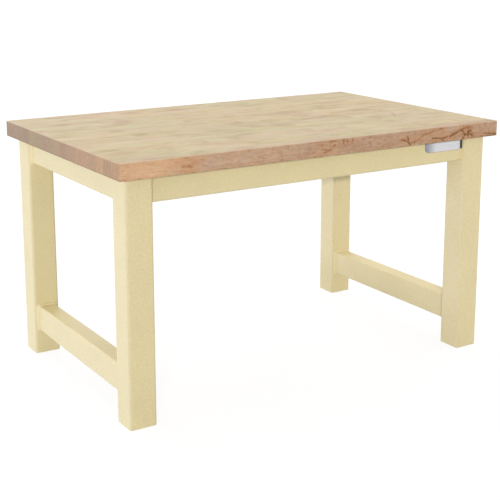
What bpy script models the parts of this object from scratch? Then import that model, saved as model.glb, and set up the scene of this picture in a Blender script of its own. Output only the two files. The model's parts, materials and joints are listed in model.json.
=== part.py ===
"""Workbench: a butcher-block top on two welded end frames, joined by bolted front and rear rails.

The origin is on the floor under the middle of the top. +X runs along the bench, -Y is its front and +Z is up.
All sizes are in metres.
"""
import math

import bmesh
import bpy
from mathutils import Matrix, Vector

# Overall
OVERALL_HEIGHT = 0.69215
SEAT_GAP = 0.0003

# Butcher-block top
TOP_LENGTH = 1.2192
TOP_DEPTH = 0.7620
TOP_THICKNESS = 0.04445
TOP_EDGE_RADIUS = 0.0025
END_OVERHANG = 0.0254
SIDE_OVERHANG = 0.0254

# Legs of square tube
LEG_WIDTH = 0.0762
LEG_WALL = 0.0030
LEG_CORNER_RADIUS = 0.0076

# Plugs in the lower ends of the legs
PLUG_RECESS = 0.0010
PLUG_HEIGHT = 0.0200
PLUG_BASE = 0.0040
PLUG_WALL = 0.0025

# Upper end rails and lower stretchers of rectangular tube, welded to the legs
TUBE_WIDTH = 0.0508
TUBE_WALL = 0.0026
TUBE_CORNER_RADIUS = 0.0060
END_RAIL_HEIGHT = 0.06985
STRETCHER_HEIGHT = 0.0762
STRETCHER_CLEARANCE = 0.06985
WELD_SIZE = 0.0045
WELD_CROWN = 0.0007

# Front and rear rails: lipped channels folded from sheet, open towards the middle of the bench
RAIL_HEIGHT = 0.06985
RAIL_WIDTH = 0.0508
RAIL_SHEET = 0.0026
RAIL_LIP = 0.0120
RAIL_BEND_RADIUS = 0.0060
END_PLATE_THICKNESS = 0.0050

# Bolted joints of the long rails to the legs
BOLT_DIAMETER = 0.0080
BOLT_SPACING = 0.0340
BOLT_PROTRUSION = 0.0020
BOLT_HEAD_FLATS = 0.0130
BOLT_HEAD_HEIGHT = 0.0053
BOLT_HOLE_CLEARANCE = 0.0004
THREAD_CLEARANCE = 0.0003
WASHER_DIAMETER = 0.0160
WASHER_THICKNESS = 0.0016
NUT_PLATE_THICKNESS = 0.0060
NUT_PLATE_MARGIN = 0.0120

# Screws that hold the top, driven from below through the rails
SCREW_DIAMETER = 0.0060
SCREW_FLANGE_DIAMETER = 0.0130
SCREW_FLANGE_THICKNESS = 0.0014
SCREW_HEAD_FLATS = 0.0100
SCREW_HEAD_HEIGHT = 0.0060
SCREW_POINT = 0.0060
SCREW_COVER = 0.0160
SCREW_HOLE_CLEARANCE = 0.0004
SCREW_ACCESS_DIAMETER = 0.0160
LONG_RAIL_SCREW_INSET = 0.1500
END_RAIL_SCREW_INSET = 0.1300

# Nameplate on the front rail, beside the right-hand leg
NAMEPLATE_LENGTH = 0.1320
NAMEPLATE_HEIGHT = 0.0280
NAMEPLATE_THICKNESS = 0.0020
NAMEPLATE_DROP = 0.0075
NAMEPLATE_SWEEP = 0.0150
NAMEPLATE_CORNER_RADIUS = 0.0020
NAMEPLATE_STRIP_WIDTH = 0.0070
NAMEPLATE_STRIP_HEIGHT = 0.0260

# Fineness of round forms
CORNER_STEPS = 5
WELD_STEPS = 4
HEX_SIDES = 12
ROUND_SIDES = 16
EASED_EDGE_STEPS = 3
SMOOTH_ANGLE = math.radians(35)
SMALLEST_RADIUS = 0.0005
CHAMFER = 0.0008

# Places worked out from the sizes above
FRAME_TOP = OVERALL_HEIGHT - TOP_THICKNESS - SEAT_GAP
LEG_X = TOP_LENGTH / 2 - END_OVERHANG - LEG_WIDTH / 2
LEG_Y = TOP_DEPTH / 2 - SIDE_OVERHANG - LEG_WIDTH / 2
LEG_INNER_X = LEG_X - LEG_WIDTH / 2
LEG_INNER_Y = LEG_Y - LEG_WIDTH / 2
RAIL_MIDDLE_Z = FRAME_TOP - RAIL_HEIGHT / 2
END_PLATE_INNER_X = LEG_INNER_X - SEAT_GAP - END_PLATE_THICKNESS
WASHER_INNER_X = END_PLATE_INNER_X - SEAT_GAP - WASHER_THICKNESS
BOLT_SEAT_X = WASHER_INNER_X - SEAT_GAP
NUT_PLATE_INNER_X = LEG_INNER_X + LEG_WALL + SEAT_GAP
BOLT_TIP_X = NUT_PLATE_INNER_X + NUT_PLATE_THICKNESS + BOLT_PROTRUSION
BOLT_HOLE_RADIUS = BOLT_DIAMETER / 2 + BOLT_HOLE_CLEARANCE
SCREW_HOLE_RADIUS = SCREW_DIAMETER / 2 + SCREW_HOLE_CLEARANCE
TOP_UNDERSIDE = FRAME_TOP + SEAT_GAP
SCREW_TIP_Z = OVERALL_HEIGHT - SCREW_COVER
LONG_SCREW_X = LEG_INNER_X - LONG_RAIL_SCREW_INSET
END_SCREW_Y = LEG_INNER_Y - END_RAIL_SCREW_INSET

SIDES = {"left": -1, "right": 1}
FACES = {"front": -1, "rear": 1}
LEVELS = {"lower": -1, "upper": 1}


# Tools for building pieces

def clear_scene():
    """Removes every object that the file opened with."""
    for item in list(bpy.data.objects):
        bpy.data.objects.remove(item, do_unlink=True)


def make_material(name, colour, roughness, metallic=0.0):
    """A Principled material of one colour."""
    material = bpy.data.materials.new(name)
    material.use_nodes = True
    shader = material.node_tree.nodes["Principled BSDF"]
    shader.inputs["Base Color"].default_value = (*colour, 1.0)
    shader.inputs["Roughness"].default_value = roughness
    shader.inputs["Metallic"].default_value = metallic
    return material


def add_group(name, location=(0, 0, 0), parent=None):
    """An empty that carries the pieces of one sub-assembly."""
    group = bpy.data.objects.new(name, None)
    group.location = location
    group.parent = parent
    bpy.context.scene.collection.objects.link(group)
    return group


def add_piece(name, mesh, material, parent, location=(0, 0, 0), rotation=(0, 0, 0)):
    """One named piece, shaded smooth across its round stretches."""
    mesh.shade_smooth()
    mesh.set_sharp_from_angle(angle=SMOOTH_ANGLE)
    mesh.materials.append(material)
    piece = bpy.data.objects.new(name, mesh)
    piece.parent = parent
    piece.location = location
    piece.rotation_euler = rotation
    bpy.context.scene.collection.objects.link(piece)
    return piece


def mesh_from_rings(name, rings, is_tube=False):
    """A closed mesh through rings of points: a tube's last ring meets its first, others get end faces."""
    bm = bmesh.new()
    rows = [[bm.verts.new(point) for point in ring] for ring in rings]
    neighbours = list(zip(rows, rows[1:]))
    if is_tube:
        neighbours.append((rows[-1], rows[0]))
    else:
        bm.faces.new(rows[0])
        bm.faces.new(rows[-1])
    for lower, upper in neighbours:
        for here in range(len(lower)):
            there = (here + 1) % len(lower)
            bm.faces.new((lower[here], lower[there], upper[there], upper[here]))
    bmesh.ops.recalc_face_normals(bm, faces=bm.faces)
    mesh = bpy.data.meshes.new(name)
    bm.to_mesh(mesh)
    bm.free()
    return mesh


def cut_holes(piece, holes):
    """Drills round holes, each a middle, direction, radius and length in the piece's coordinates."""
    bm = bmesh.new()
    for middle, direction, radius, length in holes:
        turn = Vector((0, 0, 1)).rotation_difference(Vector(direction)).to_matrix().to_4x4()
        bmesh.ops.create_cone(
            bm, cap_ends=True, segments=ROUND_SIDES, radius1=radius, radius2=radius, depth=length,
            matrix=Matrix.Translation(middle) @ turn)
    mesh = bpy.data.meshes.new(piece.name + "_drill")
    bm.to_mesh(mesh)
    bm.free()
    drill = bpy.data.objects.new(piece.name + "_drill", mesh)
    drill.parent = piece
    drill.hide_render = True
    drill.display_type = "WIRE"
    bpy.context.scene.collection.objects.link(drill)
    cut = piece.modifiers.new("holes", "BOOLEAN")
    cut.operation = "DIFFERENCE"
    cut.solver = "EXACT"
    cut.object = drill


# Outlines

def circle(radius, sides=ROUND_SIDES):
    """Points of a circle."""
    turns = [2 * math.pi * step / sides for step in range(sides)]
    return [(radius * math.cos(turn), radius * math.sin(turn)) for turn in turns]


def hexagon(across_flats, sides=HEX_SIDES):
    """Points of a hexagon, as many as a circle of the same number of sides has."""
    points = []
    for step in range(sides):
        turn = 2 * math.pi * step / sides
        from_flat = turn % (math.pi / 3) - math.pi / 6
        radius = across_flats / 2 / math.cos(from_flat)
        points.append((radius * math.cos(turn), radius * math.sin(turn)))
    return points


def rounded_rectangle(width, height, radius):
    """Points of a rectangle with round corners, about its middle."""
    points = []
    for quarter, (right, up) in enumerate(((1, 1), (-1, 1), (-1, -1), (1, -1))):
        for step in range(CORNER_STEPS + 1):
            turn = math.radians(90 * (quarter + step / CORNER_STEPS))
            across = right * (width / 2 - radius) + radius * math.cos(turn)
            along = up * (height / 2 - radius) + radius * math.sin(turn)
            points.append((across, along))
    return points


def rounded_path(corners, radius):
    """A row of points through right-angled corners, each drawn as an arc."""
    corners = [Vector(corner) for corner in corners]
    path = [corners[0]]
    for before, corner, after in zip(corners, corners[1:], corners[2:]):
        back = (before - corner).normalized() * radius
        ahead = (after - corner).normalized() * radius
        middle = corner + back + ahead
        for step in range(CORNER_STEPS + 1):
            turn = math.radians(90 * step / CORNER_STEPS)
            path.append(middle - ahead * math.cos(turn) - back * math.sin(turn))
    path.append(corners[-1])
    return path


def inner_radius(outer_radius, wall):
    """The inside radius of a bend in material of one thickness."""
    return max(outer_radius - wall, SMALLEST_RADIUS)


def upright(outline, z):
    """An outline in X and Y, at one height."""
    return [(x, y, z) for x, y in outline]


# Pieces

def butcher_block_top(material, parent, screw_places):
    """The glued-up panel, with its edges eased and a blind pilot hole for each screw."""
    bm = bmesh.new()
    bmesh.ops.create_cube(bm, matrix=Matrix.Diagonal((TOP_LENGTH, TOP_DEPTH, TOP_THICKNESS, 1)))
    mesh = bpy.data.meshes.new("butcher_block_top")
    bm.to_mesh(mesh)
    bm.free()
    middle_z = OVERALL_HEIGHT - TOP_THICKNESS / 2
    top = add_piece("butcher_block_top", mesh, material, parent, location=(0, 0, middle_z))
    ease = top.modifiers.new("eased_edges", "BEVEL")
    ease.width = TOP_EDGE_RADIUS
    ease.segments = EASED_EDGE_STEPS
    pilot_radius = SCREW_DIAMETER / 2 + THREAD_CLEARANCE
    pilot_end = SCREW_TIP_Z + SEAT_GAP
    pilot_start = TOP_UNDERSIDE - TOP_THICKNESS
    pilot_middle = (pilot_start + pilot_end) / 2 - middle_z
    pilot_length = pilot_end - pilot_start
    cut_holes(top, [((x, y, pilot_middle), (0, 0, 1), pilot_radius, pilot_length) for x, y in screw_places])


def leg(name, material, parent, side, location):
    """A square tube, with two bolt holes in the wall that meets a long rail."""
    bore = LEG_WIDTH - 2 * LEG_WALL
    outer = rounded_rectangle(LEG_WIDTH, LEG_WIDTH, LEG_CORNER_RADIUS)
    inner = rounded_rectangle(bore, bore, inner_radius(LEG_CORNER_RADIUS, LEG_WALL))
    rings = [upright(outer, 0), upright(outer, FRAME_TOP), upright(inner, FRAME_TOP), upright(inner, 0)]
    tube = add_piece(name, mesh_from_rings(name, rings, is_tube=True), material, parent, location)
    wall_middle_x = -side * (LEG_WIDTH / 2 - LEG_WALL / 2)
    heights = [RAIL_MIDDLE_Z + level * BOLT_SPACING / 2 for level in LEVELS.values()]
    cut_holes(tube, [((wall_middle_x, 0, z), (1, 0, 0), BOLT_HOLE_RADIUS, 2 * LEG_WALL) for z in heights])


def foot_plug(name, material, parent, location):
    """A cup pushed into the lower end of a leg."""
    outer_width = LEG_WIDTH - 2 * LEG_WALL - 2 * SEAT_GAP
    inner_width = outer_width - 2 * PLUG_WALL
    outer_corner = inner_radius(LEG_CORNER_RADIUS, LEG_WALL)
    outer = rounded_rectangle(outer_width, outer_width, outer_corner)
    inner = rounded_rectangle(inner_width, inner_width, inner_radius(outer_corner, PLUG_WALL))
    shell = [upright(outer, 0), upright(outer, PLUG_HEIGHT)]
    hollow = [upright(inner, PLUG_HEIGHT), upright(inner, PLUG_BASE)]
    add_piece(name, mesh_from_rings(name, shell + hollow), material, parent, location)


def weld_profile():
    """The bead at a tube's end: distance from the leg and height above the tube, from the leg outwards."""
    profile = []
    for step in range(WELD_STEPS + 1):
        share = step / WELD_STEPS
        height = WELD_SIZE * (1 - share) + WELD_CROWN * math.sin(math.pi * share)
        profile.append((WELD_SIZE * share, height))
    return profile


def welded_tube(name, material, parent, height, middle_z, bead_on_top, screw_ys=()):
    """A tube between two legs, with a weld bead round each end, but not over a tube that carries the top."""
    half_length = LEG_INNER_Y - SEAT_GAP

    def ring(y, growth, wall):
        width, tall = TUBE_WIDTH + 2 * growth - 2 * wall, height + 2 * growth - 2 * wall
        corner = inner_radius(TUBE_CORNER_RADIUS + growth, wall)
        highest = tall / 2 if bead_on_top else height / 2 - wall
        return [(x, y, min(z, highest)) for x, z in rounded_rectangle(width, tall, corner)]

    near_end = [ring(distance - half_length, growth, 0) for distance, growth in weld_profile()]
    far_end = [ring(half_length - distance, growth, 0) for distance, growth in reversed(weld_profile())]
    bore = [ring(half_length, 0, TUBE_WALL), ring(-half_length, 0, TUBE_WALL)]
    mesh = mesh_from_rings(name, near_end + far_end + bore, is_tube=True)
    tube = add_piece(name, mesh, material, parent, location=(0, 0, middle_z))
    if screw_ys:
        holes = []
        for y in screw_ys:
            holes.append(((0, y, height / 2), (0, 0, 1), SCREW_HOLE_RADIUS, 4 * TUBE_WALL))
            holes.append(((0, y, -height / 2), (0, 0, 1), SCREW_ACCESS_DIAMETER / 2, 4 * TUBE_WALL))
        cut_holes(tube, holes)


def channel_outline(face):
    """The lipped channel's section in Y and Z, about its middle, with its web on the outer face."""
    inside, outside = -face * RAIL_WIDTH / 2, face * RAIL_WIDTH / 2
    half_height = RAIL_HEIGHT / 2

    def fold(depth, radius):
        lip_y, web_y, flange_z = inside + face * depth, outside - face * depth, half_height - depth
        lip_end_z = half_height - RAIL_LIP
        corners = [(lip_y, -lip_end_z), (lip_y, -flange_z), (web_y, -flange_z),
                   (web_y, flange_z), (lip_y, flange_z), (lip_y, lip_end_z)]
        return rounded_path(corners, radius)

    outer = fold(0, RAIL_BEND_RADIUS)
    inner = fold(RAIL_SHEET, inner_radius(RAIL_BEND_RADIUS, RAIL_SHEET))
    return outer + inner[::-1]


def long_rail(name, material, parent, face, screw_xs):
    """A channel between the two end frames, drilled through its upper flange for the top's screws."""
    half_length = LEG_INNER_X - SEAT_GAP
    outline = channel_outline(face)
    rings = [[(x, y, z) for y, z in outline] for x in (-half_length, half_length)]
    location = (0, face * LEG_Y, RAIL_MIDDLE_Z)
    rail = add_piece(name, mesh_from_rings(name, rings), material, parent, location)
    flange_z = RAIL_HEIGHT / 2 - RAIL_SHEET / 2
    cut_holes(rail, [((x, 0, flange_z), (0, 0, 1), SCREW_HOLE_RADIUS, 2 * RAIL_SHEET) for x in screw_xs])


def drilled_plate(name, material, parent, width, height, corner, thickness, hole_radius, location):
    """A plate that stands across the bench, with the two holes of a bolted joint."""
    outline = rounded_rectangle(width, height, corner)
    rings = [[(x, y, z) for y, z in outline] for x in (-thickness / 2, thickness / 2)]
    plate = add_piece(name, mesh_from_rings(name, rings), material, parent, location)
    heights = [level * BOLT_SPACING / 2 for level in LEVELS.values()]
    cut_holes(plate, [((0, 0, z), (1, 0, 0), hole_radius, 2 * thickness) for z in heights])


def end_plate(name, material, parent, side, face):
    """The plate welded inside the end of a long rail."""
    width = RAIL_WIDTH - 2 * RAIL_SHEET - 2 * SEAT_GAP
    height = RAIL_HEIGHT - 2 * RAIL_SHEET - 2 * SEAT_GAP
    middle_x = END_PLATE_INNER_X + END_PLATE_THICKNESS / 2
    location = (side * middle_x, face * LEG_Y, RAIL_MIDDLE_Z)
    drilled_plate(name, material, parent, width, height, RAIL_BEND_RADIUS, END_PLATE_THICKNESS,
                  BOLT_HOLE_RADIUS, location)


def nut_plate(name, material, parent, side, face):
    """The tapped plate behind a leg's wall."""
    width = 2 * NUT_PLATE_MARGIN
    height = BOLT_SPACING + 2 * NUT_PLATE_MARGIN
    middle_x = NUT_PLATE_INNER_X + NUT_PLATE_THICKNESS / 2
    location = (side * middle_x, face * LEG_Y, RAIL_MIDDLE_Z)
    drilled_plate(name, material, parent, width, height, SMALLEST_RADIUS, NUT_PLATE_THICKNESS,
                  BOLT_DIAMETER / 2 + THREAD_CLEARANCE, location)


def rail_bolt(name, material, parent, side, location):
    """A hex bolt: its head's underside is at the origin, and its shank runs out towards the leg."""
    radius = BOLT_DIAMETER / 2
    length = BOLT_TIP_X - BOLT_SEAT_X
    rings = [
        upright(circle(radius - CHAMFER, HEX_SIDES), -length),
        upright(circle(radius, HEX_SIDES), CHAMFER - length),
        upright(circle(radius, HEX_SIDES), 0),
        upright(hexagon(BOLT_HEAD_FLATS), 0),
        upright(hexagon(BOLT_HEAD_FLATS), BOLT_HEAD_HEIGHT - CHAMFER),
        upright(circle(BOLT_HEAD_FLATS / 2 - CHAMFER, HEX_SIDES), BOLT_HEAD_HEIGHT),
    ]
    add_piece(name, mesh_from_rings(name, rings), material, parent, location, (0, -side * math.pi / 2, 0))


def rail_washer(name, material, parent, location):
    """A flat washer under a bolt's head."""
    outer, inner = circle(WASHER_DIAMETER / 2), circle(BOLT_HOLE_RADIUS)
    low, high = -WASHER_THICKNESS / 2, WASHER_THICKNESS / 2
    rings = [upright(outer, low), upright(outer, high), upright(inner, high), upright(inner, low)]
    mesh = mesh_from_rings(name, rings, is_tube=True)
    add_piece(name, mesh, material, parent, location, (0, math.pi / 2, 0))


def top_screw(name, material, parent, x, y, wall):
    """A pointed hex-flange screw, driven up through a wall of this thickness into the top."""
    radius = SCREW_DIAMETER / 2
    seat_z = FRAME_TOP - wall - SEAT_GAP
    length = SCREW_TIP_Z - seat_z
    flange = circle(SCREW_FLANGE_DIAMETER / 2, HEX_SIDES)
    rings = [
        upright(circle(SMALLEST_RADIUS, HEX_SIDES), -length),
        upright(circle(radius, HEX_SIDES), SCREW_POINT - length),
        upright(circle(radius, HEX_SIDES), 0),
        upright(flange, 0),
        upright(flange, SCREW_FLANGE_THICKNESS),
        upright(hexagon(SCREW_HEAD_FLATS), SCREW_FLANGE_THICKNESS),
        upright(hexagon(SCREW_HEAD_FLATS), SCREW_HEAD_HEIGHT - CHAMFER),
        upright(circle(SCREW_HEAD_FLATS / 2 - CHAMFER, HEX_SIDES), SCREW_HEAD_HEIGHT),
    ]
    add_piece(name, mesh_from_rings(name, rings), material, parent, (x, y, seat_z), (math.pi, 0, 0))


def nameplate(plate_material, strip_material, parent):
    """A bare plate on the front rail, its lower left corner swept round, and the strip at its right end."""
    back_y = -LEG_Y - RAIL_WIDTH / 2 - SEAT_GAP
    top_z = FRAME_TOP - NAMEPLATE_DROP
    strip_right = LEG_INNER_X - SEAT_GAP
    strip_left = strip_right - NAMEPLATE_STRIP_WIDTH
    plate_right = strip_left - SEAT_GAP
    plate_left = plate_right - NAMEPLATE_LENGTH
    upper_left, upper_right = (0, 0), (NAMEPLATE_LENGTH, 0)
    lower_left, lower_right = (0, -NAMEPLATE_HEIGHT), (NAMEPLATE_LENGTH, -NAMEPLATE_HEIGHT)
    swept_side = rounded_path([upper_left, lower_left, lower_right], NAMEPLATE_SWEEP)
    right_side = rounded_path([lower_right, upper_right, upper_left], NAMEPLATE_CORNER_RADIUS)
    outline = swept_side + right_side[1:-1]
    rings = [[(x, y, z) for x, z in outline] for y in (0, -NAMEPLATE_THICKNESS)]
    mesh = mesh_from_rings("nameplate", rings)
    add_piece("nameplate", mesh, plate_material, parent, (plate_left, back_y, top_z))
    strip = rounded_rectangle(NAMEPLATE_STRIP_WIDTH, NAMEPLATE_STRIP_HEIGHT, NAMEPLATE_CORNER_RADIUS)
    rings = [[(x, y, z) for x, z in strip] for y in (0, -NAMEPLATE_THICKNESS)]
    strip_middle = (strip_left + NAMEPLATE_STRIP_WIDTH / 2, back_y, top_z - NAMEPLATE_STRIP_HEIGHT / 2)
    mesh = mesh_from_rings("nameplate_end_strip", rings)
    add_piece("nameplate_end_strip", mesh, strip_material, parent, strip_middle)


# Assemblies

def end_frame(bench, side_name, coat, plastic, steel, screw_ys):
    """Two legs with the rail and the stretcher welded between them."""
    side = SIDES[side_name]
    frame = add_group("end_frame_" + side_name, (side * LEG_X, 0, 0), bench)
    for face_name, face in FACES.items():
        corner = face_name + "_" + side_name
        leg("leg_" + corner, coat, frame, side, (0, face * LEG_Y, 0))
        foot_plug("foot_plug_" + corner, plastic, frame, (0, face * LEG_Y, PLUG_RECESS))
        nut_plate("nut_plate_" + corner, steel, bench, side, face)
    rail_z = FRAME_TOP - END_RAIL_HEIGHT / 2
    welded_tube("end_rail_" + side_name, coat, frame, END_RAIL_HEIGHT, rail_z, False, screw_ys)
    stretcher_z = STRETCHER_CLEARANCE + STRETCHER_HEIGHT / 2
    welded_tube("stretcher_" + side_name, coat, frame, STRETCHER_HEIGHT, stretcher_z, True)


def rail_joint(bench, side_name, face_name, coat, steel):
    """The end plate of a long rail with its bolts and washers."""
    side, face = SIDES[side_name], FACES[face_name]
    end_plate(face_name + "_rail_end_plate_" + side_name, coat, bench, side, face)
    for level_name, level in LEVELS.items():
        place = "_".join((face_name, side_name, level_name))
        z = RAIL_MIDDLE_Z + level * BOLT_SPACING / 2
        washer_x = WASHER_INNER_X + WASHER_THICKNESS / 2
        rail_washer("rail_washer_" + place, steel, bench, (side * washer_x, face * LEG_Y, z))
        rail_bolt("rail_bolt_" + place, steel, bench, side, (side * BOLT_SEAT_X, face * LEG_Y, z))


def main():
    clear_scene()
    maple = make_material("maple", (0.67, 0.55, 0.35), 0.50)
    coat = make_material("cream_powder_coat", (0.69, 0.58, 0.30), 0.40)
    steel = make_material("zinc_plated_steel", (0.62, 0.62, 0.60), 0.35, 1.0)
    plastic = make_material("black_plastic", (0.03, 0.03, 0.03), 0.55)
    satin = make_material("satin_aluminium", (0.72, 0.72, 0.74), 0.35, 1.0)

    bench = add_group("workbench")
    long_xs = (-LONG_SCREW_X, 0, LONG_SCREW_X)
    end_ys = (-END_SCREW_Y, END_SCREW_Y)

    screw_places = []
    for face_name, face in FACES.items():
        long_rail(face_name + "_rail", coat, bench, face, long_xs)
        for number, x in enumerate(long_xs, 1):
            top_screw(f"top_screw_{face_name}_{number}", steel, bench, x, face * LEG_Y, RAIL_SHEET)
            screw_places.append((x, face * LEG_Y))
    for side_name, side in SIDES.items():
        end_frame(bench, side_name, coat, plastic, steel, end_ys)
        for number, y in enumerate(end_ys, 1):
            top_screw(f"top_screw_{side_name}_{number}", steel, bench, side * LEG_X, y, TUBE_WALL)
            screw_places.append((side * LEG_X, y))
        for face_name in FACES:
            rail_joint(bench, side_name, face_name, coat, steel)
    butcher_block_top(maple, bench, screw_places)
    nameplate(satin, plastic, bench)


main()
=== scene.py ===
"""Looks of the workbench: finishes, welds, nameplate, floor, light and camera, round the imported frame."""
import json
import math
from types import SimpleNamespace

import bmesh
import bpy
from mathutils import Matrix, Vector


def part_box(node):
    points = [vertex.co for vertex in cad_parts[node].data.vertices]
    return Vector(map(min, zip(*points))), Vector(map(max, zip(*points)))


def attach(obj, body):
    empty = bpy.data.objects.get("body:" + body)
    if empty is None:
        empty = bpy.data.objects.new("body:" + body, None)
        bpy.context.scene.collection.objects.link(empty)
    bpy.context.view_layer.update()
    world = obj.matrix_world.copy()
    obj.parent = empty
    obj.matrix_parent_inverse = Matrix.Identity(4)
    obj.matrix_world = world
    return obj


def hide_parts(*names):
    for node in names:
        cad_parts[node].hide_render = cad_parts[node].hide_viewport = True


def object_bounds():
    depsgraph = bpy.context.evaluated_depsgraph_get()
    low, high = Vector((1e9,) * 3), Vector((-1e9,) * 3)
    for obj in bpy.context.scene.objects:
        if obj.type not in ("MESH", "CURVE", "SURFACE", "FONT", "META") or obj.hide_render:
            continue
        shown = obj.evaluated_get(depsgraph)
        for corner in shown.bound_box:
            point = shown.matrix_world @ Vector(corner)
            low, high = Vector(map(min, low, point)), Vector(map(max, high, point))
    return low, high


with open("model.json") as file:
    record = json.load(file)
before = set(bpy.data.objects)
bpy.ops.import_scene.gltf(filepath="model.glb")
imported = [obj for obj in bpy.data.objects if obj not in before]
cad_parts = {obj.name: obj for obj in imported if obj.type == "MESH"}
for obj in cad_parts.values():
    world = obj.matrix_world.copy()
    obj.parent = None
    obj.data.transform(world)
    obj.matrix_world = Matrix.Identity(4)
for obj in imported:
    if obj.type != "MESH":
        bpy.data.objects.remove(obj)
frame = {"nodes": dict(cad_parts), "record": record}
cad_low, cad_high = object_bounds()
nodes = frame["nodes"]
top_low, top_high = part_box("butcher_block_top")
TOP_THICKNESS = top_high.z - top_low.z

# Camera, at the photograph's viewing angle: metres and radians, and millimetres for lens and sensor
CAMERA_PLACE = (-1.6985, -2.6913, 1.2001)
CAMERA_YAW = 0.5612
CAMERA_PITCH = 0.2077
CAMERA_LENS = 79.2
CAMERA_SENSOR = 36.0
CAMERA_SHIFT = -0.15

# Wood: strips glued side by side, boards end to end in each strip, and the glue's dark line, which fades
# between two distances from a joint
STRIP_COUNT = 17
STRIP_WIDTH = (top_high.y - top_low.y) / STRIP_COUNT
BOARD_LENGTH = 0.36
BOARD_SPREAD = 0.3
GLUE_LINE = (0.0001, 0.0006)

# Where the count of boards starts, the seeds of the random numbers of each strip and each board,
# and how far apart the noise of two boards can start
BOARD_COUNT_START = 5.0
STRIP_SEED = (3.0, 7.0)
BOARD_SEEDS = (1.0, 2.0)
BOARD_NOISE_REACH = (9.0, 30.0, 30.0)

# Growth rings, round a pith that lies to one side of each board
RINGS_TO_THE_METRE = 150.0
FIRST_RING = 40.0
PITH_DISTANCE = (0.035, 0.11)
PITH_RISE = 0.05
RING_WANDER = 0.032
FRONT_CURL = 0.010

# Marks in the front board: places along the bench, and heights as shares of the top's thickness.
# A knot has its place, its height, its reach and how far it lifts the rings.
# A crack or a sweep has its half width, then its points.
KNOTS = (
    (0.272, 0.10, 0.030, 0.016),
    (0.470, 0.25, 0.042, 0.020),
    (-0.010, 0.45, 0.060, 0.010),
)
CRACKS = (
    (0.0017, (0.270, 0.65), (0.272, 0.47)),
    (0.0027, (0.272, 0.47), (0.272, 0.30), (0.280, 0.08)),
    (0.0017, (0.249, 0.46), (0.264, 0.38), (0.272, 0.26)),
    (0.0015, (0.285, 0.26), (0.285, 0.18)),
    (0.0017, (0.295, 0.26), (0.294, 0.14)),
    (0.0019, (0.361, 0.34), (0.373, 0.32), (0.401, 0.26), (0.415, 0.32)),
    (0.0014, (0.395, 0.20), (0.403, 0.10)),
    (0.0025, (0.427, 0.32), (0.450, 0.50), (0.466, 0.65), (0.474, 0.61), (0.480, 0.41), (0.483, 0.34)),
    (0.0026, (0.483, 0.34), (0.480, 0.21), (0.474, 0.01)),
    (0.0030, (0.483, 0.34), (0.501, 0.33), (0.512, 0.21)),
    (0.0042, (0.497, 0.52), (0.494, 0.26)),
    (0.0026, (0.497, 0.51), (0.506, 0.54)),
    (0.0014, (0.558, 0.27), (0.593, 0.17), (0.609, 0.14)),
    (0.0017, (0.565, 0.05), (0.609, 0.03)),
    (0.0015, (0.049, 0.93), (0.049, 0.68)),
    (0.0012, (0.061, 0.84), (0.061, 0.71)),
    (0.0013, (0.079, 0.91), (0.079, 0.75)),
)
SWEEPS = (
    (0.0030, (0.308, 0.35), (0.325, 0.57), (0.347, 0.70), (0.403, 0.92)),
    (0.0045, (0.474, 0.74), (0.503, 0.78)),
    (0.0040, (-0.023, 0.45), (0.003, 0.39)),
    (0.0040, (-0.014, 0.26), (-0.001, 0.32), (0.020, 0.65)),
    (0.0065, (-0.440, 0.45), (-0.415, 0.40)),
)
MARK_SHAKE = 0.006

# Where marks on the front face, its lower lip, darker in patches, and the ends' dark lower edge (partly
# stain, partly painted shade) begin and cease to fade, measured in from the front face and up from the
# underside
MARK_DEPTH = (0.002, 0.006)
FRONT_LIP = (0.0005, 0.0045)
END_RIM_STAIN_AND_SHADE = (0.001, 0.005)

# A short mark across the grain of the work surface: half width, then its ends
TOP_MARK = (0.0022, (0.406, -0.161), (0.448, -0.093))

# Tubes and their welds, whose root is sunk into tube and leg and whose open ends keep a share of their size
TUBE_WIDTH = 0.0508
TUBE_CORNER = 0.0060
END_RAIL_HEIGHT = 0.06985
STRETCHER_HEIGHT = 0.0762
WELD_SIZE = 0.0062
WELD_CROWN = 0.0011
WELD_RIPPLE = 0.0004
WELD_PITCH = 0.0042
WELD_ROOT = 0.0003
WELD_STEP = 0.0008
WELD_LEAST_BEND_STEPS = 6
WELD_PROFILE_STEPS = 8
WELD_END_SHARE = 0.45

# A slow and a quick waver of a weld's size: share, pace along the weld and multiple of the weld's phase
WELD_WAVERS = ((0.05, 170.0, 1), (0.03, 610.0, 2))

# Nameplate: radii of its corners, from the upper right one, anticlockwise as seen from the front
PLATE_CORNERS = (0.003, 0.003, 0.014, 0.003)
STRIP_CORNERS = (0.0016,) * 4
LEAST_CORNER = 0.0002
CORNER_STEPS = 10
PLATE_SHADE_LENGTH = 0.045

# The rolled edge of plate and strip: how far it is drawn in, at each rise from the back
ROLLED_EDGE = (
    (0.0, 0.0),
    (0.0, 0.0009),
    (0.0003, 0.0014),
    (0.0009, 0.0018),
    (0.0017, 0.00196),
    (0.0026, 0.0020),
)

# Edges of the new pieces that bend by more than this many degrees stay sharp
SHARP_ANGLE = 50

# Light and floor, with the step from the bench's left end to the light there
AMBIENT = 0.60
DAYLIGHT = (0.88, 1.0, 1.48)
LEFT_LIGHT_STEP = Vector((-16.0, 0.0, 0.1))
FLOOR_REACH = 30.0
FLOOR_GREY = 0.62
FLOOR_SEEN_GREY = 0.20
FLOOR_GLOW = 0.84


def colour(red, green, blue):
    return (red, green, blue, 1.0)


def grey(level):
    return colour(level, level, level)


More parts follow.
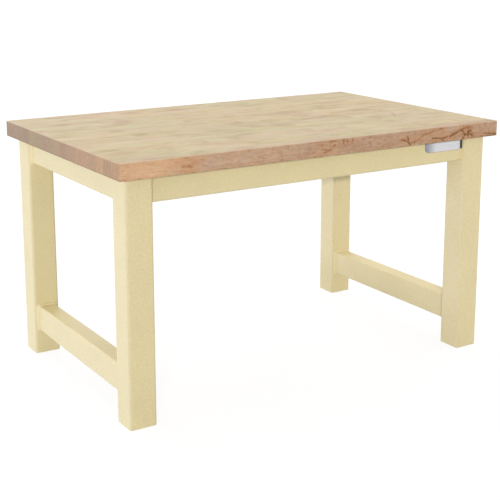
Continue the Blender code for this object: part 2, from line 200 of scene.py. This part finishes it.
class Look:
    """A node material in the making: a Principled shader, and short calls for the nodes that feed it."""

    def __init__(self, name, **fixed):
        self.material = bpy.data.materials.new(name)
        self.material.use_nodes = True
        self.tree = self.material.node_tree
        self.tree.nodes.clear()
        self.shader = self.add("ShaderNodeBsdfPrincipled")
        output = self.add("ShaderNodeOutputMaterial")
        self.tree.links.new(self.shader.outputs["BSDF"], output.inputs["Surface"])
        self.place = self.add("ShaderNodeTexCoord").outputs["Object"]
        for socket, value in fixed.items():
            self.set(socket.replace("_", " "), value)

    def add(self, kind, **settings):
        node = self.tree.nodes.new(kind)
        for name, value in settings.items():
            setattr(node, name, value)
        return node

    def feed(self, socket, value):
        """Links a node's output to a socket, or writes a plain value there."""
        if isinstance(value, bpy.types.NodeSocket):
            self.tree.links.new(value, socket)
        else:
            socket.default_value = value

    def set(self, socket, value):
        self.feed(self.shader.inputs[socket], value)

    def math(self, operation, *values):
        node = self.add("ShaderNodeMath", operation=operation)
        for socket, value in zip(node.inputs, values):
            self.feed(socket, value)
        return node.outputs["Value"]

    def add_up(self, *values):
        total = values[0]
        for value in values[1:]:
            total = self.math("ADD", total, value)
        return total

    def times(self, *values):
        product = values[0]
        for value in values[1:]:
            product = self.math("MULTIPLY", product, value)
        return product

    def minus(self, first, second):
        return self.math("SUBTRACT", first, second)

    def length(self, x, y):
        return self.math("SQRT", self.add_up(self.times(x, x), self.times(y, y)))

    def vector_math(self, operation, *values):
        node = self.add("ShaderNodeVectorMath", operation=operation)
        for socket, value in zip(node.inputs, values):
            self.feed(socket, value)
        return node.outputs["Value" if operation == "LENGTH" else "Vector"]

    def scaled(self, vector, factors):
        return self.vector_math("MULTIPLY", vector, factors)

    def shifted(self, vector, step):
        return self.vector_math("ADD", vector, step)

    def split(self, vector):
        node = self.add("ShaderNodeSeparateXYZ")
        self.feed(node.inputs["Vector"], vector)
        return node.outputs["X"], node.outputs["Y"], node.outputs["Z"]

    def join(self, x, y, z):
        node = self.add("ShaderNodeCombineXYZ")
        for socket, value in zip(node.inputs, (x, y, z)):
            self.feed(socket, value)
        return node.outputs["Vector"]

    def facing(self):
        """The three parts of the direction that the surface faces."""
        return self.split(self.add("ShaderNodeNewGeometry").outputs["Normal"])

    def noise(self, place, scale=1.0, detail=2.0, roughness=0.5, dimensions="3D"):
        node = self.add("ShaderNodeTexNoise", noise_dimensions=dimensions)
        self.feed(node.inputs["W" if dimensions == "1D" else "Vector"], place)
        self.feed(node.inputs["Scale"], scale)
        self.feed(node.inputs["Detail"], detail)
        self.feed(node.inputs["Roughness"], roughness)
        return node.outputs["Fac"]

    def stretched_noise(self, factors, detail=2.0, roughness=0.5):
        """Noise with its own fineness, in cells to the metre, along each axis of the bench."""
        return self.noise(self.scaled(self.place, factors), 1.0, detail, roughness)

    def random(self, place):
        """Three random numbers from 0 to 1, the same wherever the place is the same."""
        node = self.add("ShaderNodeTexWhiteNoise", noise_dimensions="3D")
        self.feed(node.inputs["Vector"], place)
        return self.split(node.outputs["Color"])

    def span(self, value, low, high, first=0.0, last=1.0):
        """Goes smoothly from first to last while the value goes from low to high."""
        node = self.add("ShaderNodeMapRange", interpolation_type="SMOOTHSTEP")
        for socket, given in zip(node.inputs, (value, low, high, first, last)):
            self.feed(socket, given)
        return node.outputs["Result"]

    def mix(self, factor, first, second, blend="MIX"):
        node = self.add("ShaderNodeMix", data_type="RGBA", blend_type=blend)
        self.feed(node.inputs["Factor"], factor)
        colours = [socket for socket in node.inputs if socket.type == "RGBA"]
        self.feed(colours[0], first)
        self.feed(colours[1], second)
        return [socket for socket in node.outputs if socket.type == "RGBA"][0]

    def tint(self, amount, base, factors):
        """The base colour, with its red, green and blue multiplied by three factors to the given amount."""
        return self.mix(amount, base, colour(*factors), "MULTIPLY")

    def level(self, base, brightness):
        """The base colour, made brighter or darker by one number."""
        return self.mix(1.0, base, self.join(brightness, brightness, brightness), "MULTIPLY")

    def bump(self, height, distance, strength):
        node = self.add("ShaderNodeBump")
        self.feed(node.inputs["Strength"], strength)
        self.feed(node.inputs["Distance"], distance)
        self.feed(node.inputs["Height"], height)
        self.set("Normal", node.outputs["Normal"])


def near_line(look, spot, start, end, half_width):
    """Distance from a spot to the line between two others, in half widths of that line."""
    along = end - start
    local = look.add("ShaderNodeMapping", vector_type="TEXTURE")
    look.feed(local.inputs["Vector"], spot)
    look.feed(local.inputs["Location"], (start + end) / 2)
    look.feed(local.inputs["Rotation"], (0.0, 0.0, math.atan2(along.y, along.x)))
    look.feed(local.inputs["Scale"], (half_width,) * 3)
    reach = (along.length / 2 / half_width, 0.0, 0.0)
    past = look.vector_math("SUBTRACT", look.vector_math("ABSOLUTE", local.outputs["Vector"]), reach)
    return look.vector_math("LENGTH", look.vector_math("MAXIMUM", past, (0.0, 0.0, 0.0)))


def front_spot(place, share):
    """A point of the front face as its place along the bench and its height."""
    return Vector((place, top_low.z + share * TOP_THICKNESS, 0.0))


def nearest_mark(look, spot, marks):
    """Distance from a spot on the front face to the nearest of several marks, in half widths of that mark."""
    nearest = None
    for half_width, *line in marks:
        for start, end in zip(line, line[1:]):
            gap = near_line(look, spot, front_spot(*start), front_spot(*end), half_width)
            nearest = gap if nearest is None else look.math("MINIMUM", nearest, gap)
    return nearest


def lay_boards(look):
    """What a point needs to know of its board: where it is in it, and the board's own random numbers."""
    x, y, z = look.split(look.place)
    across = look.math("DIVIDE", look.minus(y, top_low.y), STRIP_WIDTH)
    strip = look.math("FLOOR", across)
    front = look.math("LESS_THAN", across, 1.0)
    first, pace, _ = look.random(look.join(strip, *STRIP_SEED))
    pace = look.span(pace, 0.0, 1.0, (1 - BOARD_SPREAD) * BOARD_LENGTH, (1 + BOARD_SPREAD) * BOARD_LENGTH)
    along = look.math("DIVIDE", look.add_up(x, look.times(first, BOARD_LENGTH), BOARD_COUNT_START), pace)
    board = look.times(look.math("FLOOR", along), look.minus(1.0, front))
    turn, pith, tone = look.random(look.join(strip, board, BOARD_SEEDS[0]))
    hue, ash, rise = look.random(look.join(strip, board, BOARD_SEEDS[1]))
    seam = look.times(look.math("PINGPONG", across, 0.5), STRIP_WIDTH)
    butt = look.add_up(look.times(look.math("PINGPONG", along, 0.5), pace), front)
    return SimpleNamespace(
        x=x, y=y, z=z, front=front, turn=turn, pith=pith, tone=tone, hue=hue, ash=ash, rise=rise,
        in_strip=look.times(look.minus(look.minus(across, strip), 0.5), STRIP_WIDTH),
        joint=look.math("MINIMUM", seam, butt),
        own_start=look.scaled(look.join(turn, tone, hue), BOARD_NOISE_REACH))


def board_noise(look, board, factors, detail=2.0, roughness=0.5):
    """Noise stretched along the boards, which starts afresh in each of them."""
    return look.noise(look.shifted(look.scaled(look.place, factors), board.own_start), 1.0, detail, roughness)


def growth_rings(look, board):
    """Grain from 0 to 1: rings round the pith, bent by knots in the front board, with fibres and pores."""
    middle_z = (top_low.z + top_high.z) / 2
    pith_side = look.math("SIGN", look.minus(board.turn, 0.5))
    pith_y = look.times(pith_side, look.span(board.pith, 0.0, 1.0, *PITH_DISTANCE))
    pith_z = look.times(look.minus(board.rise, 0.5), PITH_RISE)
    wander = look.times(look.minus(board_noise(look, board, (2.0, 7.0, 7.0), 3.0), 0.5), RING_WANDER)
    curl = look.times(look.minus(look.stretched_noise((24.0, 20.0, 60.0)), 0.5), board.front, FRONT_CURL)
    ring = look.length(look.minus(board.in_strip, pith_y), look.minus(look.minus(board.z, middle_z), pith_z))
    ring = look.add_up(ring, wander, curl)
    for place, share, reach, lift in KNOTS:
        knot_x = look.math("DIVIDE", look.minus(board.x, place), reach)
        knot_z = look.math("DIVIDE", look.minus(board.z, top_low.z + share * TOP_THICKNESS), reach / 2)
        away = look.length(knot_x, knot_z)
        hump = look.math("EXPONENT", look.times(away, away, -1.0))
        ring = look.add_up(ring, look.times(hump, board.front, lift))
    count = look.add_up(look.times(ring, RINGS_TO_THE_METRE), look.times(board.hue, FIRST_RING))
    bands = look.noise(count, 1.0, 3.0, 0.6, "1D")
    fibre = look.stretched_noise((9.0, 420.0, 420.0), 3.0, 0.6)
    pores = look.stretched_noise((34.0, 1500.0, 1500.0), 2.0, 0.6)
    return look.add_up(look.times(bands, 0.55), look.times(fibre, 0.33), look.times(pores, 0.12))


# In the finishes, a span of noise goes from the level where a change begins to the one where it is whole
def face_wood(look, board, grain):
    """The work surface: straw that drifts to grey, with rose, olive and tan patches in each board."""
    straw, grey_straw = colour(0.580, 0.468, 0.290), colour(0.550, 0.475, 0.300)
    rose, olive, tan = colour(0.575, 0.437, 0.308), colour(0.545, 0.475, 0.275), colour(0.545, 0.410, 0.245)
    drift = look.stretched_noise((1.7, 2.6, 0.0), 1.0)
    wood = look.mix(look.span(drift, 0.42, 0.60), straw, grey_straw)
    hue = look.add_up(board_noise(look, board, (6.5, 9.0, 9.0)), look.times(look.minus(board.hue, 0.5), 0.14))
    wood = look.mix(look.span(hue, 0.50, 0.70, 0.0, 0.9), wood, rose)
    wood = look.mix(look.span(hue, 0.48, 0.30, 0.0, 0.9), wood, olive)
    patch = board_noise(look, board, (10.0, 18.0, 18.0))
    wood = look.mix(look.span(patch, 0.58, 0.74, 0.0, 0.7), wood, tan)
    shade = board_noise(look, board, (11.0, 12.0, 12.0), 3.0)
    shade = look.add_up(shade, look.times(look.minus(board.ash, 0.5), 0.12))
    wood = look.tint(look.span(shade, 0.50, 0.72), wood, (0.86, 0.82, 0.81))
    wood = look.tint(look.span(shade, 0.48, 0.28), wood, (1.05, 1.07, 1.13))
    blush = board_noise(look, board, (9.0, 75.0, 75.0), 3.0, 0.6)
    wood = look.tint(look.span(blush, 0.50, 0.70), wood, (0.93, 0.85, 0.81))
    streak = board_noise(look, board, (17.0, 120.0, 120.0), 3.0, 0.6)
    wood = look.tint(look.span(streak, 0.52, 0.74), wood, (0.86, 0.82, 0.78))
    wood = look.tint(look.span(grain, 0.62, 0.32), wood, (0.91, 0.88, 0.85))
    half_width, *ends = TOP_MARK
    start, end = [Vector((*place, 0.0)) for place in ends]
    from_mark = near_line(look, look.join(board.x, board.y, 0.0), start, end, half_width)
    wood = look.tint(look.span(from_mark, 0.2, 1.6, 0.7, 0.0), wood, (0.62, 0.53, 0.47))
    return look.level(wood, look.span(board.tone, 0.0, 1.0, 0.99, 1.06))


def edge_wood(look, board, grain):
    """The long edges: orange at the left, rose and browner to the right, with lilac clouds and flecks."""
    rose, brown = colour(0.615, 0.405, 0.268), colour(0.512, 0.332, 0.218)
    orange, lilac = colour(0.74, 0.475, 0.28), colour(0.57, 0.415, 0.31)
    unevenness = look.stretched_noise((4.0, 15.0, 15.0), 3.0)
    drift = look.add_up(board.x, look.times(look.minus(unevenness, 0.5), 0.25))
    wood = look.mix(look.span(drift, -0.30, 0.10), rose, brown)
    wood = look.mix(look.span(drift, -0.38, -0.50), wood, orange)
    cloud = look.stretched_noise((14.0, 30.0, 40.0))
    wood = look.mix(look.span(cloud, 0.52, 0.70, 0.0, 0.7), wood, lilac)
    streak = look.stretched_noise((26.0, 50.0, 200.0), 3.0, 0.6)
    wood = look.tint(look.span(streak, 0.52, 0.76), wood, (0.78, 0.64, 0.57))
    wood = look.tint(look.span(streak, 0.50, 0.28), wood, (1.10, 1.10, 1.10))
    fleck = look.stretched_noise((90.0, 90.0, 130.0), 3.0, 0.65)
    flecked = look.span(drift, -0.50, -0.10, 0.4, 1.0)
    wood = look.tint(look.times(look.span(fleck, 0.50, 0.72), flecked), wood, (0.78, 0.69, 0.63))
    wood = look.tint(look.times(look.span(fleck, 0.48, 0.30), flecked), wood, (1.08, 1.10, 1.11))
    return look.tint(look.span(grain, 0.62, 0.32), wood, (0.88, 0.80, 0.74))


def end_wood(look, board, grain):
    """End grain: rose at the front, grey-brown with olive boards at the rear, and a dark lower edge, partly
    stain and partly painted shade.
    """
    rose, warm_rose = colour(0.455, 0.303, 0.176), colour(0.50, 0.318, 0.181)
    grey_brown, olive = colour(0.368, 0.262, 0.174), colour(0.372, 0.290, 0.166)
    wood = look.mix(board.hue, rose, warm_rose)
    wood = look.mix(look.span(board.y, -0.32, 0.20), wood, grey_brown)
    olive_board = look.times(look.span(board.ash, 0.50, 0.70, 0.0, 0.8), look.span(board.y, -0.15, 0.15))
    wood = look.mix(olive_board, wood, olive)
    wood = look.tint(look.span(grain, 0.62, 0.32), wood, (0.80, 0.76, 0.73))
    fleck = look.stretched_noise((0.0, 260.0, 110.0), 3.0, 0.65)
    wood = look.tint(look.span(fleck, 0.50, 0.72), wood, (0.76, 0.70, 0.68))
    wood = look.tint(look.span(fleck, 0.46, 0.28), wood, (1.10, 1.10, 1.12))
    # Dark lower edge of the ends: partly stain, partly painted shade along the underside
    stain_and_shade_rim = look.span(board.z, top_low.z + END_RIM_STAIN_AND_SHADE[0], top_low.z + END_RIM_STAIN_AND_SHADE[1], 0.8, 0.0)
    wood = look.tint(stain_and_shade_rim, wood, (0.60, 0.54, 0.48))
    return look.level(wood, look.span(board.tone, 0.0, 1.0, 0.92, 1.03))


def mark_front(look, board, wood):
    """Slanting figure, soft sweeps and bark-brown cracks in the front face, and its lower lip, darker in
    patches.
    """
    x, z = board.x, board.z
    skin = look.span(board.y, top_low.y + MARK_DEPTH[0], top_low.y + MARK_DEPTH[1], 1.0, 0.0)
    figure_x = look.add_up(look.times(x, 26.0), look.times(z, -70.0))
    figure_z = look.add_up(look.times(z, 150.0), look.times(x, 34.0))
    figure = look.noise(look.join(figure_x, 0.0, figure_z), 1.0, 4.0, 0.65)
    figure_place = look.span(look.stretched_noise((9.0, 0.0, 20.0), 1.0), 0.40, 0.65)
    figured = look.times(look.span(figure, 0.50, 0.74), figure_place, skin)
    wood = look.tint(figured, wood, (0.80, 0.66, 0.57))
    shake = look.scaled(look.place, (210.0, 0.0, 210.0))
    other_shake = look.shifted(shake, (7.0, 7.0, 7.0))
    shake_x = look.times(look.minus(look.noise(shake, 1.0, 3.0, 0.6), 0.5), MARK_SHAKE)
    shake_z = look.times(look.minus(look.noise(other_shake, 1.0, 3.0, 0.6), 0.5), MARK_SHAKE)
    spot = look.join(look.add_up(x, shake_x), look.add_up(z, shake_z), 0.0)
    from_sweep = nearest_mark(look, spot, SWEEPS)
    from_crack = nearest_mark(look, spot, CRACKS)
    broken = look.span(look.stretched_noise((110.0, 0.0, 150.0)), 0.34, 0.56, 0.4, 1.0)
    sweep = look.times(look.span(from_sweep, 0.0, 1.2, 0.9, 0.0), broken, skin)
    wood = look.tint(sweep, wood, (0.68, 0.50, 0.38))
    glow = look.times(look.span(look.math("MINIMUM", from_crack, from_sweep), 1.0, 9.0, 0.7, 0.0), skin)
    wood = look.tint(glow, wood, (1.02, 0.92, 0.77))
    halo = look.times(look.span(from_crack, 0.6, 3.2, 0.6, 0.0), skin)
    wood = look.tint(halo, wood, (0.82, 0.63, 0.46))
    crack = look.times(look.span(from_crack, 0.3, 1.2, 1.0, 0.0), broken, skin)
    wood = look.mix(look.times(crack, 0.92), wood, colour(0.14, 0.060, 0.027))
    # The front face's lower lip is darkened in patches towards its bottom edge
    lip_patches = look.span(look.stretched_noise((55.0, 0.0, 0.0)), 0.46, 0.62)
    lip = look.span(z, top_low.z + FRONT_LIP[0], top_low.z + FRONT_LIP[1], 0.8, 0.0)
    return look.tint(look.times(lip, lip_patches, skin), wood, (0.55, 0.40, 0.27))


def maple():
    """Oiled edge-grain maple, with its own colours on faces, long edges and ends, and painted highlight on
    rounded edges.
    """
    look = Look("edge_grain_maple", Specular_IOR_Level=0.15)
    board = lay_boards(look)
    grain = growth_rings(look, board)
    to_end, to_edge, to_face = [look.math("ABSOLUTE", part) for part in look.facing()]
    wood = face_wood(look, board, grain)
    wood = look.mix(look.span(to_edge, 0.3, 0.8), wood, edge_wood(look, board, grain))
    wood = look.mix(look.span(to_end, 0.3, 0.8), wood, end_wood(look, board, grain))
    glue = look.span(board.joint, *GLUE_LINE, 0.22, 0.0)
    wood = look.mix(glue, wood, colour(0.30, 0.19, 0.10))
    wood = mark_front(look, board, wood)
    # Painted highlight: the rounded edges between faces are mixed towards a pale colour, as where they catch
    # the light
    painted_edge_highlight = look.span(look.times(to_face, look.math("MAXIMUM", to_edge, to_end)), 0.15, 0.45, 0.0, 0.5)
    look.set("Base Color", look.mix(painted_edge_highlight, wood, colour(0.64, 0.51, 0.34)))
    look.set("Roughness", look.span(grain, 0.2, 0.8, 0.66, 0.54))
    look.bump(look.minus(grain, glue), 0.0002, 0.5)
    return look.material


def powder_coat(name, painted_corner_shade):
    """Cream powder coat with a fine speckle, and painted light that makes upward faces paler.

    Corners that face the front left or the rear right get painted shade, darker by the given share of a fixed
    shade.
    """
    look = Look(name, Specular_IOR_Level=0.5, Coat_Weight=0.5, Coat_Roughness=0.45)
    cream, pale_cream = colour(0.65, 0.548, 0.285), colour(0.74, 0.632, 0.355)
    speckle = look.noise(look.place, 300.0, 3.0, 0.65)
    drift = look.noise(look.place, 9.0)
    peel = look.noise(look.place, 330.0, 1.0)
    paint = look.mix(look.span(speckle, 0.3, 0.7), cream, pale_cream)
    paint = look.level(paint, look.span(drift, 0.2, 0.8, 0.98, 1.02))
    facing_x, facing_y, facing_z = look.facing()
    # Painted shade: round upright corners facing front left or rear right are darkened, to tone down their
    # highlight
    corner = look.span(look.times(facing_x, facing_y), 0.05, 0.45, 0.0, painted_corner_shade)
    paint = look.tint(corner, paint, (0.86, 0.85, 0.83))
    # Painted light: upward faces are made paler, as if more light fell on them
    look.set("Base Color", look.tint(look.span(facing_z, 0.6, 0.95), paint, (1.13, 1.13, 1.10)))
    look.set("Roughness", look.span(speckle, 0.2, 0.8, 0.60, 0.50))
    look.bump(look.add_up(look.times(speckle, 0.5), peel), 0.00018, 0.6)
    return look.material


def zinc_plate():
    look = Look("zinc_plate", Metallic=1.0)
    cloud = look.noise(look.place, 160.0, 3.0, 0.6)
    zinc, bright_zinc = colour(0.52, 0.52, 0.50), colour(0.68, 0.68, 0.66)
    look.set("Base Color", look.mix(look.span(cloud, 0.3, 0.7), zinc, bright_zinc))
    look.set("Roughness", look.span(cloud, 0.2, 0.8, 0.28, 0.42))
    look.bump(look.noise(look.place, 900.0), 0.00005, 0.5)
    return look.material


def satin_aluminium():
    """Aluminium brushed along the plate, darker towards its left end, with painted shade round its rolled
    edge.
    """
    look = Look("satin_aluminium", Metallic=1.0)
    plate_low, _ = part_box("nameplate")
    x, _, _ = look.split(look.place)
    brush = look.stretched_noise((60.0, 60.0, 4200.0), 3.0, 0.6)
    metal, bright_metal = colour(0.56, 0.56, 0.58), colour(0.74, 0.74, 0.77)
    satin = look.mix(look.span(brush, 0.3, 0.7), metal, bright_metal)
    shaded = look.span(x, plate_low.x, plate_low.x + PLATE_SHADE_LENGTH, 0.8, 0.0)
    satin = look.mix(shaded, satin, colour(0.22, 0.22, 0.24))
    # Painted shade: where the rolled edge turns away from the front, the colour goes dark grey
    _, facing_y, _ = look.facing()
    rolled = look.span(look.math("ABSOLUTE", facing_y), 0.97, 0.75)
    look.set("Base Color", look.mix(rolled, satin, colour(0.16, 0.16, 0.17)))
    look.set("Roughness", look.span(brush, 0.2, 0.8, 0.30, 0.42))
    look.bump(brush, 0.00004, 0.5)
    return look.material


def black_plastic():
    look = Look("black_plastic")
    grain = look.noise(look.place, 1500.0)
    look.set("Base Color", look.mix(grain, grey(0.022), grey(0.040)))
    look.set("Roughness", look.span(grain, 0.2, 0.8, 0.44, 0.58))
    look.bump(grain, 0.00008, 0.5)
    return look.material


def wear(thing, material):
    thing.data.materials.clear()
    thing.data.materials.append(material)


def dress_nodes():
    """Every CAD node takes the finish of its slot in the record; welds have one with less painted corner
    shade.
    """
    finishes = {
        "maple": maple(),
        "powder_coat": powder_coat("cream_powder_coat", painted_corner_shade=1.0),
        "zinc_steel": zinc_plate(),
        "satin_aluminium": satin_aluminium(),
        "black_plastic": black_plastic(),
        # Welds take a smaller share of the painted corner shade
        "weld": powder_coat("cream_powder_coat_on_welds", painted_corner_shade=0.6),
    }
    for part in frame["record"]["subparts"]:
        wear(nodes[part["node"]], finishes[part["material_slot"]])
    return finishes


def ring_mesh(name, rings, joins_up=False):
    """A closed mesh through rings of points: the last ring meets the first, or both ends get a face."""
    bm = bmesh.new()
    rows = [[bm.verts.new(point) for point in ring] for ring in rings]
    pairs = list(zip(rows, rows[1:]))
    if joins_up:
        pairs.append((rows[-1], rows[0]))
    else:
        bm.faces.new(rows[0])
        bm.faces.new(rows[-1])
    for row, next_row in pairs:
        for here in range(len(row)):
            there = (here + 1) % len(row)
            bm.faces.new((row[here], row[there], next_row[there], next_row[here]))
    bmesh.ops.recalc_face_normals(bm, faces=bm.faces)
    mesh = bpy.data.meshes.new(name)
    bm.to_mesh(mesh)
    bm.free()
    mesh.shade_smooth()
    mesh.set_sharp_from_angle(angle=math.radians(SHARP_ANGLE))
    return mesh


def add_piece(name, mesh, finish, replaced=()):
    piece = bpy.data.objects.new(name, mesh)
    bpy.context.scene.collection.objects.link(piece)
    wear(piece, finish)
    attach(piece, "root")
    if replaced:
        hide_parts(*replaced)


def tube_outline(width, height, corner, open_above):
    """Points round a tube's section, with their outward directions.

    They run down one side, under and up the other, and back over the top unless it is open above.
    """
    half_width, half_height = width / 2, height / 2
    path = []

    def straight(start, end, outward):
        start, end = Vector(start), Vector(end)
        count = max(1, round((end - start).length / WELD_STEP))
        for step in range(count):
            path.append((start.lerp(end, step / count), Vector(outward)))

    def bend(middle, first_angle):
        count = max(WELD_LEAST_BEND_STEPS, round(corner * math.pi / 2 / WELD_STEP))
        for step in range(count):
            turn = math.radians(first_angle + 90 * step / count)
            outward = Vector((math.cos(turn), math.sin(turn)))
            path.append((Vector(middle) + outward * corner, outward))

    side, flat = half_height - corner, half_width - corner
    straight((-half_width, side), (-half_width, -side), (-1, 0))
    bend((-flat, -side), 180)
    straight((-flat, -half_height), (flat, -half_height), (0, -1))
    bend((flat, -side), 270)
    straight((half_width, -side), (half_width, side), (1, 0))
    if not open_above:
        bend((flat, side), 0)
        straight((flat, half_height), (-flat, half_height), (0, 1))
        bend((-flat, side), 90)
    return path


def weld_profile(size, travelled, phase):
    """A fillet's section at one spot, as distances out from the tube and along it, with its ripple."""
    profile = []
    for step in range(WELD_PROFILE_STEPS + 1):
        share = step / WELD_PROFILE_STEPS
        arch = math.sin(math.pi * share)
        ripple = abs(math.sin(math.pi * (travelled / WELD_PITCH - 0.5 * arch) + phase))
        swell = (WELD_CROWN + WELD_RIPPLE * (ripple - 0.5)) * arch * size / WELD_SIZE
        profile.append((size * (1 - share) + swell, size * share + swell))
    profile[0] = (profile[0][0], -WELD_ROOT)
    profile[-1] = (-WELD_ROOT, profile[-1][1])
    profile.append((-WELD_ROOT, -WELD_ROOT))
    return profile


def weld_bead(name, finishes, middle, height, phase, open_above=False):
    """A rippled fillet round a tube's end on a leg's face; one that is open above tapers off there."""
    middle_x, leg_y, middle_z = middle
    inward = -math.copysign(1.0, leg_y)
    path = tube_outline(TUBE_WIDTH, height, TUBE_CORNER, open_above)
    rings = []
    for index, (spot, outward) in enumerate(path):
        travelled = index * WELD_STEP
        waver = sum(share * math.sin(travelled * pace + turns * phase) for share, pace, turns in WELD_WAVERS)
        size = WELD_SIZE * (1 + waver)
        if open_above:
            from_end = min(index, len(path) - 1 - index) * WELD_STEP
            size *= WELD_END_SHARE + (1 - WELD_END_SHARE) * min(1.0, from_end / WELD_SIZE)
        ring = []
        for out, along in weld_profile(size, travelled, phase):
            x = middle_x + spot.x + outward.x * out
            z = middle_z + spot.y + outward.y * out
            ring.append((x, leg_y + inward * along, z))
        rings.append(ring)
    mesh = ring_mesh(name, rings, joins_up=not open_above)
    add_piece(name, mesh, finishes["weld"])


def add_welds(finishes):
    """A bead at each end of each welded tube, none over the end rails, where the butcher block lies."""
    for side in ("left", "right"):
        for row in ("front", "rear"):
            leg_low, leg_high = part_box(f"leg_{row}_{side}")
            stretcher_low, stretcher_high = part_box(f"stretcher_{side}")
            middle_x = (leg_low.x + leg_high.x) / 2
            leg_y = leg_high.y if row == "front" else leg_low.y
            rail_middle = (middle_x, leg_y, leg_high.z - END_RAIL_HEIGHT / 2)
            stretcher_middle = (middle_x, leg_y, (stretcher_low.z + stretcher_high.z) / 2)
            phase = len(side) + 2 * len(row)
            weld_bead(f"weld_rail_{row}_{side}", finishes, rail_middle, END_RAIL_HEIGHT, phase,
                      open_above=True)
            weld_bead(f"weld_stretcher_{row}_{side}", finishes, stretcher_middle, STRETCHER_HEIGHT, phase + 1)


def plate_outline(low, high, radii, inset, rise):
    """One ring of a plate that faces the front, drawn in at its rise from the back."""
    corners = ((1, 1), (-1, 1), (-1, -1), (1, -1))
    ring = []
    for quarter, ((right, up), radius) in enumerate(zip(corners, radii)):
        middle_x = (high.x - radius) if right > 0 else (low.x + radius)
        middle_z = (high.z - radius) if up > 0 else (low.z + radius)
        reach = max(LEAST_CORNER, radius - inset)
        for step in range(CORNER_STEPS + 1):
            turn = math.radians(90 * (quarter + step / CORNER_STEPS))
            ring.append((middle_x + reach * math.cos(turn), high.y - rise, middle_z + reach * math.sin(turn)))
    return ring


def add_nameplate(finishes):
    """A bare plate with a rolled edge and a swept lower left corner, and the strip at its right end."""
    low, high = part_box("nameplate")
    rings = [plate_outline(low, high, PLATE_CORNERS, inset, rise) for inset, rise in ROLLED_EDGE]
    plate = ring_mesh("bare_nameplate", rings)
    add_piece("bare_nameplate", plate, finishes["satin_aluminium"], ["nameplate"])
    low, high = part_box("nameplate_end_strip")
    rings = [plate_outline(low, high, STRIP_CORNERS, inset / 2, rise) for inset, rise in ROLLED_EDGE]
    strip = ring_mesh("nameplate_strip", rings)
    add_piece("nameplate_strip", strip, finishes["black_plastic"], ["nameplate_end_strip"])


def add_camera():
    data = bpy.data.cameras.new("camera")
    data.sensor_width = CAMERA_SENSOR
    data.lens = CAMERA_LENS
    data.shift_y = CAMERA_SHIFT
    camera = bpy.data.objects.new("camera", data)
    camera.location = CAMERA_PLACE
    camera.rotation_euler = (math.pi / 2 - CAMERA_PITCH, 0.0, -CAMERA_YAW)
    bpy.context.scene.collection.objects.link(camera)
    bpy.context.scene.camera = camera


def seen_directly(tree):
    """1 for a ray from the camera, a mirror or glass, and 0 for light on its way to a matt surface."""
    path = tree.nodes.new("ShaderNodeLightPath")
    seen = path.outputs["Is Camera Ray"]
    for kind in ("Is Glossy Ray", "Is Transmission Ray"):
        either = tree.nodes.new("ShaderNodeMath")
        either.operation = "MAXIMUM"
        tree.links.new(seen, either.inputs[0])
        tree.links.new(path.outputs[kind], either.inputs[1])
        seen = either.outputs["Value"]
    return seen


def add_world():
    """White where it is seen, and a dimmer light from all round."""
    world = bpy.data.worlds.new("studio")
    world.use_nodes = True
    tree = world.node_tree
    background = tree.nodes["Background"]
    background.inputs["Color"].default_value = grey(1.0)
    strength = tree.nodes.new("ShaderNodeMapRange")
    tree.links.new(seen_directly(tree), strength.inputs["Value"])
    strength.inputs["To Min"].default_value = AMBIENT
    strength.inputs["To Max"].default_value = 1.0
    tree.links.new(strength.outputs["Result"], background.inputs["Strength"])
    bpy.context.scene.world = world


def add_floor():
    """A pale floor, which glows where it is seen, so that it nears white but keeps the bench's shadow."""
    look = Look("floor", Roughness=0.9, Specular_IOR_Level=0.0)
    direct = seen_directly(look.tree)
    look.set("Base Color", look.mix(direct, grey(FLOOR_GREY), grey(FLOOR_SEEN_GREY)))
    look.set("Emission Color", grey(1.0))
    look.set("Emission Strength", look.times(direct, FLOOR_GLOW))
    mesh = bpy.data.meshes.new("floor")
    corners = [(x * FLOOR_REACH, y * FLOOR_REACH, 0.0) for x, y in ((-1, -1), (1, -1), (1, 1), (-1, 1))]
    mesh.from_pydata(corners, [], [(0, 1, 2, 3)])
    mesh.materials.append(look.material)
    floor = bpy.data.objects.new("floor", mesh)
    bpy.context.scene.collection.objects.link(floor)


def add_lamp(data, towards, place=(0.0, 0.0, 0.0)):
    """Puts a lamp at its place, with its light coming from the given direction."""
    lamp = bpy.data.objects.new(data.name, data)
    lamp.location = place
    lamp.rotation_euler = towards.to_track_quat("Z", "Y").to_euler()
    bpy.context.scene.collection.objects.link(lamp)


def add_sun(name, azimuth, elevation, softness, strength):
    """Light from far away; azimuth 0 comes from the front, 90 from the right, and angles are in degrees."""
    data = bpy.data.lights.new(name, "SUN")
    data.energy = strength
    data.angle = math.radians(softness)
    turn, rise = math.radians(azimuth), math.radians(elevation)
    level = Vector((math.sin(turn), -math.cos(turn), 0.0))
    add_lamp(data, level * math.cos(rise) + Vector((0.0, 0.0, math.sin(rise))))


def add_softbox(name, place, aim, width, height, strength, tint):
    """An upright panel of light, about as strong at its aim as a sun of that strength."""
    data = bpy.data.lights.new(name, "AREA")
    data.shape = "RECTANGLE"
    data.size = width
    data.size_y = height
    data.color = tint
    towards = Vector(place) - Vector(aim)
    data.energy = strength * math.pi * towards.length_squared
    add_lamp(data, towards, place)


def add_lamps():
    left_end = Vector((cad_low.x, 0.0, cad_high.z / 2))
    add_sun("key_light", azimuth=-33.0, elevation=13.6, softness=1.4, strength=1.36)
    add_softbox("left_light", left_end + LEFT_LIGHT_STEP, left_end,
                width=12.0, height=4.0, strength=2.0, tint=DAYLIGHT)
    add_sun("rear_light", azimuth=178.0, elevation=45.0, softness=50.0, strength=1.2)
    add_sun("right_light", azimuth=95.0, elevation=28.0, softness=60.0, strength=0.95)


add_camera()
finishes = dress_nodes()
add_welds(finishes)
add_nameplate(finishes)
add_world()
add_floor()
add_lamps()
bpy.context.scene.view_settings.view_transform = "Standard"
